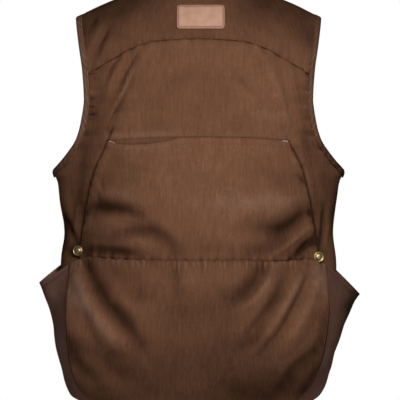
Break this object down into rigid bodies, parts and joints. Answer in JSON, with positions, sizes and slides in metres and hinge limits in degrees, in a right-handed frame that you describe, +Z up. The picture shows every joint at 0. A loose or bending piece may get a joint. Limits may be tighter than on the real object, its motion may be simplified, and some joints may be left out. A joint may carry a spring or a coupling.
{
  "type": "canvas game vest with a back pouch",
  "caption": "Sleeveless brown canvas game vest in its worn, hollow form, with a yoke, a back pouch over a bulging game bag, dark side pieces and brass snaps.",
  "frame": {"origin": "midway between the neck ends of the two shoulder seams, where the wearer's shoulders hold the vest", "axes": "+Z up, -Y out of the back, +X to the wearer's right"},
  "size_m": [0.561, 0.3449, 0.7655],
  "materials": {
    "canvas": "washed brown cotton canvas",
    "side_canvas": "dark plum-brown canvas",
    "binding": "brown twill binding",
    "leather": "bare tan leather",
    "brass": "aged brass"
  },
  "bodies": {
    "root": {"back_yoke": "canvas", "back_panel": "canvas", "pouch_upper": "canvas", "game_bag": "canvas", "gusset_left": "side_canvas", "gusset_right": "side_canvas", "front_left": "canvas", "front_right": "canvas", "armhole_binding_left": "binding", "armhole_binding_right": "binding", "front_placket": "canvas", "leather_patch": "leather", "snap_back_left": "brass", "snap_back_right": "brass", "snap_front_1": "brass", "snap_front_2": "brass", "snap_front_3": "brass", "snap_front_4": "brass", "snap_front_5": "brass"}
  },
  "joints": []
}
